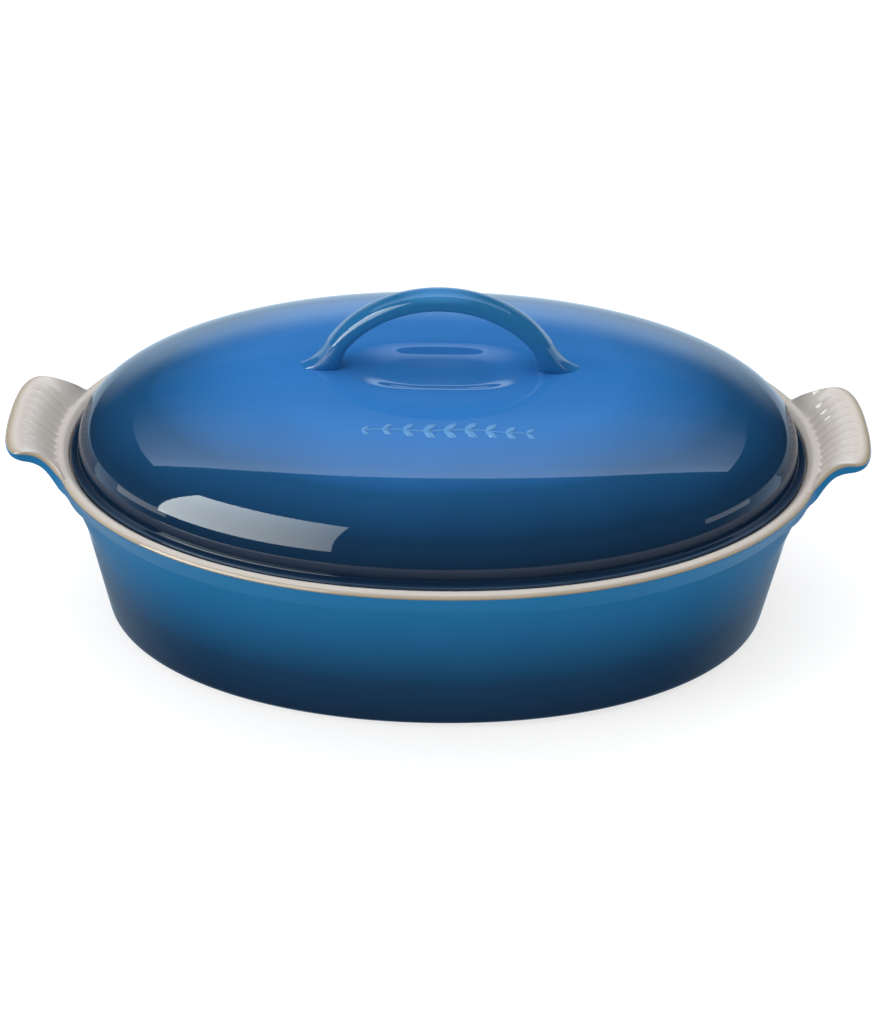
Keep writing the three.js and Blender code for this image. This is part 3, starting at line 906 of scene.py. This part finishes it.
def sprig_recipe(material):
    """Pairs of leaves along a gently waved stem, draped over the dome."""
    recipe = Recipe("leaf_sprig", {
        **DOME_SIZES, "Left End": SPRIG["left"] * MM, "Right End": SPRIG["right"] * MM,
        "Row": SPRIG["row"] * MM, "Pairs": SPRIG["pairs"], "Leaf Length": 7.0 * MM,
        "Leaf Width": 3.0 * MM, "Leaf Height": 0.75 * MM, "Stem Radius": 0.42 * MM,
        "Lean": 0.62, "Wave": 0.5 * MM})
    line = sprig_line(recipe)
    round_stem = recipe.put("GeometryNodeCurvePrimitiveCircle", {
        "Resolution": 10, "Radius": recipe.given["Stem Radius"]}).outputs[0]
    stem = recipe.put("GeometryNodeCurveToMesh", {
        "Curve": line, "Profile Curve": round_stem, "Fill Caps": True}).outputs[0]
    joined = recipe.put("GeometryNodeJoinGeometry")
    for group in [stem] + sprig_leaves(recipe, line):
        recipe.tree.links.new(group, joined.inputs[0])
    flat = recipe.put("GeometryNodeRealizeInstances", {0: joined.outputs[0]}).outputs[0]
    x, y, z = recipe.position()
    over_dome = recipe.point(x, y, recipe.work("ADD", recipe.dome(x, y, 0.0), z))
    draped = recipe.put("GeometryNodeSetPosition", {"Geometry": flat, "Position": over_dome}).outputs[0]
    smooth = recipe.put("GeometryNodeSetShadeSmooth", {"Geometry": draped}).outputs[0]
    recipe.finish(smooth, material)
    return recipe


def make_sprig():
    blank = bpy.data.objects.new("leaf_sprig", bpy.data.meshes.new("leaf_sprig"))
    bpy.context.scene.collection.objects.link(blank)
    sprig = sprig_recipe(glaze("raised_sprig_glaze", sprig_colour, gloss(0.10, 0.16))).apply(blank)
    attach(sprig, "lid")
    return sprig


# ---------------------------------------------------------------- studio

WHITE = (1, 1, 1, 1)
ROOM = {"shade": 0.56, "front": 0.04, "behind": 1.5, "table": 1.3, "near_table": 0.36}
CAMERA = {"distance": 918.59, "across": 1.20, "height": 53.71, "elevation": 40.006,
          "swing": -0.003, "roll": 0.016, "lens": 69.23}


def studio_camera():
    """The camera that looks at the dish, placed by its distance and angles round a point over the table."""
    lift, swing, roll = math.radians(CAMERA["elevation"]), CAMERA["swing"], CAMERA["roll"]
    back = np.array([math.sin(swing) * math.cos(lift), -math.cos(swing) * math.cos(lift), math.sin(lift)])
    right = np.cross(-back, [0, 0, 1])
    right /= np.linalg.norm(right)
    up = np.cross(back, right)
    across = math.cos(roll) * right + math.sin(roll) * up
    upward = -math.sin(roll) * right + math.cos(roll) * up
    place = np.array([CAMERA["across"], 0, CAMERA["height"]]) + CAMERA["distance"] * back
    data = bpy.data.cameras.new("studio_camera")
    data.lens, data.sensor_width = CAMERA["lens"], 36.0
    data.clip_start, data.clip_end = 0.01, 50
    camera = bpy.data.objects.new("studio_camera", data)
    turn = Matrix((across, upward, back)).transposed().to_4x4()
    camera.matrix_world = Matrix.Translation((place * MM).tolist()) @ turn
    bpy.context.scene.collection.objects.link(camera)
    bpy.context.scene.camera = camera


def panel(name, centre, aim, width, depth, glow, seen_in="both", colour=(1, 1, 1)):
    """A soft light panel at centre, facing aim, in metres; glow is its brightness per area."""
    data = bpy.data.lights.new(name, "AREA")
    data.shape, data.size, data.size_y = "RECTANGLE", width, depth
    data.energy, data.color = glow * math.pi * width * depth, colour
    light = bpy.data.objects.new(name, data)
    facing = (Vector(aim) - Vector(centre)).to_track_quat("-Z", "Y")
    light.matrix_world = Matrix.Translation(centre) @ facing.to_matrix().to_4x4()
    light.visible_camera = False
    light.visible_diffuse = seen_in != "gloss"
    light.visible_glossy = seen_in != "shade"
    bpy.context.scene.collection.objects.link(light)
    return light


def flat_sheet(name, corners):
    """A four cornered sheet with an empty material, and that material's node tree."""
    mesh = bpy.data.meshes.new(name)
    mesh.from_pydata(corners, [], [(0, 1, 2, 3)])
    sheet = bpy.data.objects.new(name, mesh)
    bpy.context.scene.collection.objects.link(sheet)
    material = bpy.data.materials.new(name)
    material.use_nodes = True
    material.node_tree.nodes.clear()
    mesh.materials.append(material)
    return sheet, material.node_tree


def studio_floor():
    """Pale paper that glows a little, so that the shadow on it stays faint."""
    half = 6.0
    floor, tree = flat_sheet("studio_floor", [
        (-half, -half, 0), (half, -half, 0), (half, half, 0), (-half, half, 0)])
    paper = put(tree, "ShaderNodeBsdfDiffuse", {0: (0.5, 0.5, 0.5, 1)})
    glow = put(tree, "ShaderNodeEmission", {0: WHITE, 1: 0.66})
    both = put(tree, "ShaderNodeAddShader", {0: paper.outputs[0], 1: glow.outputs[0]})
    put(tree, "ShaderNodeOutputMaterial", {0: both.outputs[0]})
    floor.visible_glossy = False


def overhead_softbox():
    """The big softbox that the lid mirrors, brightest along its front edge."""
    left, right, front, back, high = -1.33, 1.40, 0.105, 1.85, 1.25
    tint = (0.62, 0.76, 1.0)
    box, tree = flat_sheet("overhead_softbox", [
        (left, front - 0.02, high), (left, back, high), (right, back, high), (right, front + 0.03, high)])
    share = put(tree, "ShaderNodeMapRange", {0: spot_in(tree)[1], 1: front, 2: back}).outputs[0]
    fall = put(tree, "ShaderNodeValToRGB", {0: share})
    stops = fall.color_ramp.elements
    stops[0].position, stops[0].color = 0.0, (*tint, 1)
    stops[1].position, stops[1].color = 0.80, (0, 0, 0, 1)
    for at, level in ((0.09, 0.66), (0.28, 0.34), (0.55, 0.07)):
        stop = stops.new(at)
        stop.color = (*(level * part for part in tint), 1)
    glow = put(tree, "ShaderNodeEmission", {0: fall.outputs[0], 1: 3.5})
    put(tree, "ShaderNodeOutputMaterial", {0: glow.outputs[0]})
    box.visible_camera = False
    box.visible_diffuse = False


def front_left_window():
    """The tall window mirrored low on the lid's front left, fading to its right."""
    near, far, low, high = (-0.52, -1.54), (-1.46, -0.72), -0.05, 1.45
    window, tree = flat_sheet("front_left_window", [
        (*near, low), (*near, high), (*far, high), (*far, low)])
    across = spot_in(tree)[0]
    glow = put(tree, "ShaderNodeMapRange", {0: across, 1: near[0], 2: far[0], 3: 3.4, 4: 10.5}).outputs[0]
    light = put(tree, "ShaderNodeEmission", {0: (0.93, 1.0, 1.0, 1), 1: glow})
    put(tree, "ShaderNodeOutputMaterial", {0: light.outputs[0]})
    window.visible_camera = False
    window.visible_diffuse = False


def room_brightness(tree):
    """How bright the room looks in the glaze: dark in front, then the table, then a white wall behind."""
    way = put(tree, "ShaderNodeTexCoord").outputs["Generated"]
    side, back, up = put(tree, "ShaderNodeSeparateXYZ", {0: way}).outputs

    def between(value, start, end, low, high):
        return put(tree, "ShaderNodeMapRange", {0: value, 1: start, 2: end, 3: low, 4: high},
                   interpolation_type="SMOOTHSTEP").outputs[0]

    aside = work(tree, "ABSOLUTE", side)
    straight_on = between(aside, 0.05, 0.4, 1.0, 0.0)
    far_off = between(up, -0.62, -0.35, 0.0, 1.0)
    open_table = work(tree, "MAXIMUM", straight_on, far_off)
    lit = between(open_table, 0.0, 1.0, ROOM["near_table"], ROOM["table"])
    table_back = work(tree, "MULTIPLY_ADD", aside, 0.5, back)
    table = between(table_back, 0.0, 0.75, ROOM["front"], lit)
    wall_back = work(tree, "MULTIPLY_ADD", aside, -0.55, back)
    wall_across = between(wall_back, 0.3, 0.8, ROOM["front"], ROOM["behind"])
    wall = work(tree, "MULTIPLY", wall_across, between(up, 0.18, 0.42, 1.0, 0.08))
    level = between(up, -0.03, 0.03, 0.0, 1.0)
    return put(tree, "ShaderNodeMix", {0: level, 2: table, 3: wall}).outputs[0]


def studio_world():
    """Even light for shading, white to the camera, and the room in reflections."""
    world = bpy.data.worlds.new("studio_world")
    bpy.context.scene.world = world
    world.use_nodes = True
    tree = world.node_tree
    tree.nodes.clear()
    seen = put(tree, "ShaderNodeLightPath").outputs

    def light(colour, strength):
        return put(tree, "ShaderNodeBackground", {0: colour, 1: strength}).outputs[0]

    plain = light(WHITE, ROOM["shade"])
    mirrored = light((0.66, 0.84, 1, 1), room_brightness(tree))
    lighting = put(tree, "ShaderNodeMixShader", {0: seen["Is Glossy Ray"], 1: plain, 2: mirrored}).outputs[0]
    view = put(tree, "ShaderNodeMixShader", {0: seen["Is Camera Ray"], 1: lighting, 2: light(WHITE, 1.0)})
    put(tree, "ShaderNodeOutputWorld", {0: view.outputs[0]})


def studio():
    studio_floor()
    studio_world()
    overhead_softbox()
    front_left_window()
    panel("left_reflector", (-1.0, -0.32, -0.02), (0, 0, 0.1), 0.42, 0.18, 1.8, "gloss")
    panel("right_reflector", (1.0, -0.38, 0.03), (0, 0, 0.1), 0.36, 0.15, 1.3, "gloss")
    panel("top_fill", (0.0, 0.1, 1.6), (0, 0, 0), 1.6, 1.4, 1.8, "shade")
    panel("left_fill", (-1.5, -0.8, 0.9), (0, 0, 0.1), 1.2, 1.2, 4.4, "shade")
    view = bpy.context.scene.view_settings
    view.view_transform = "Standard"
    view.look = "None"
    studio_camera()


make_dish()
make_lid()
make_handle()
make_sprig()
studio()
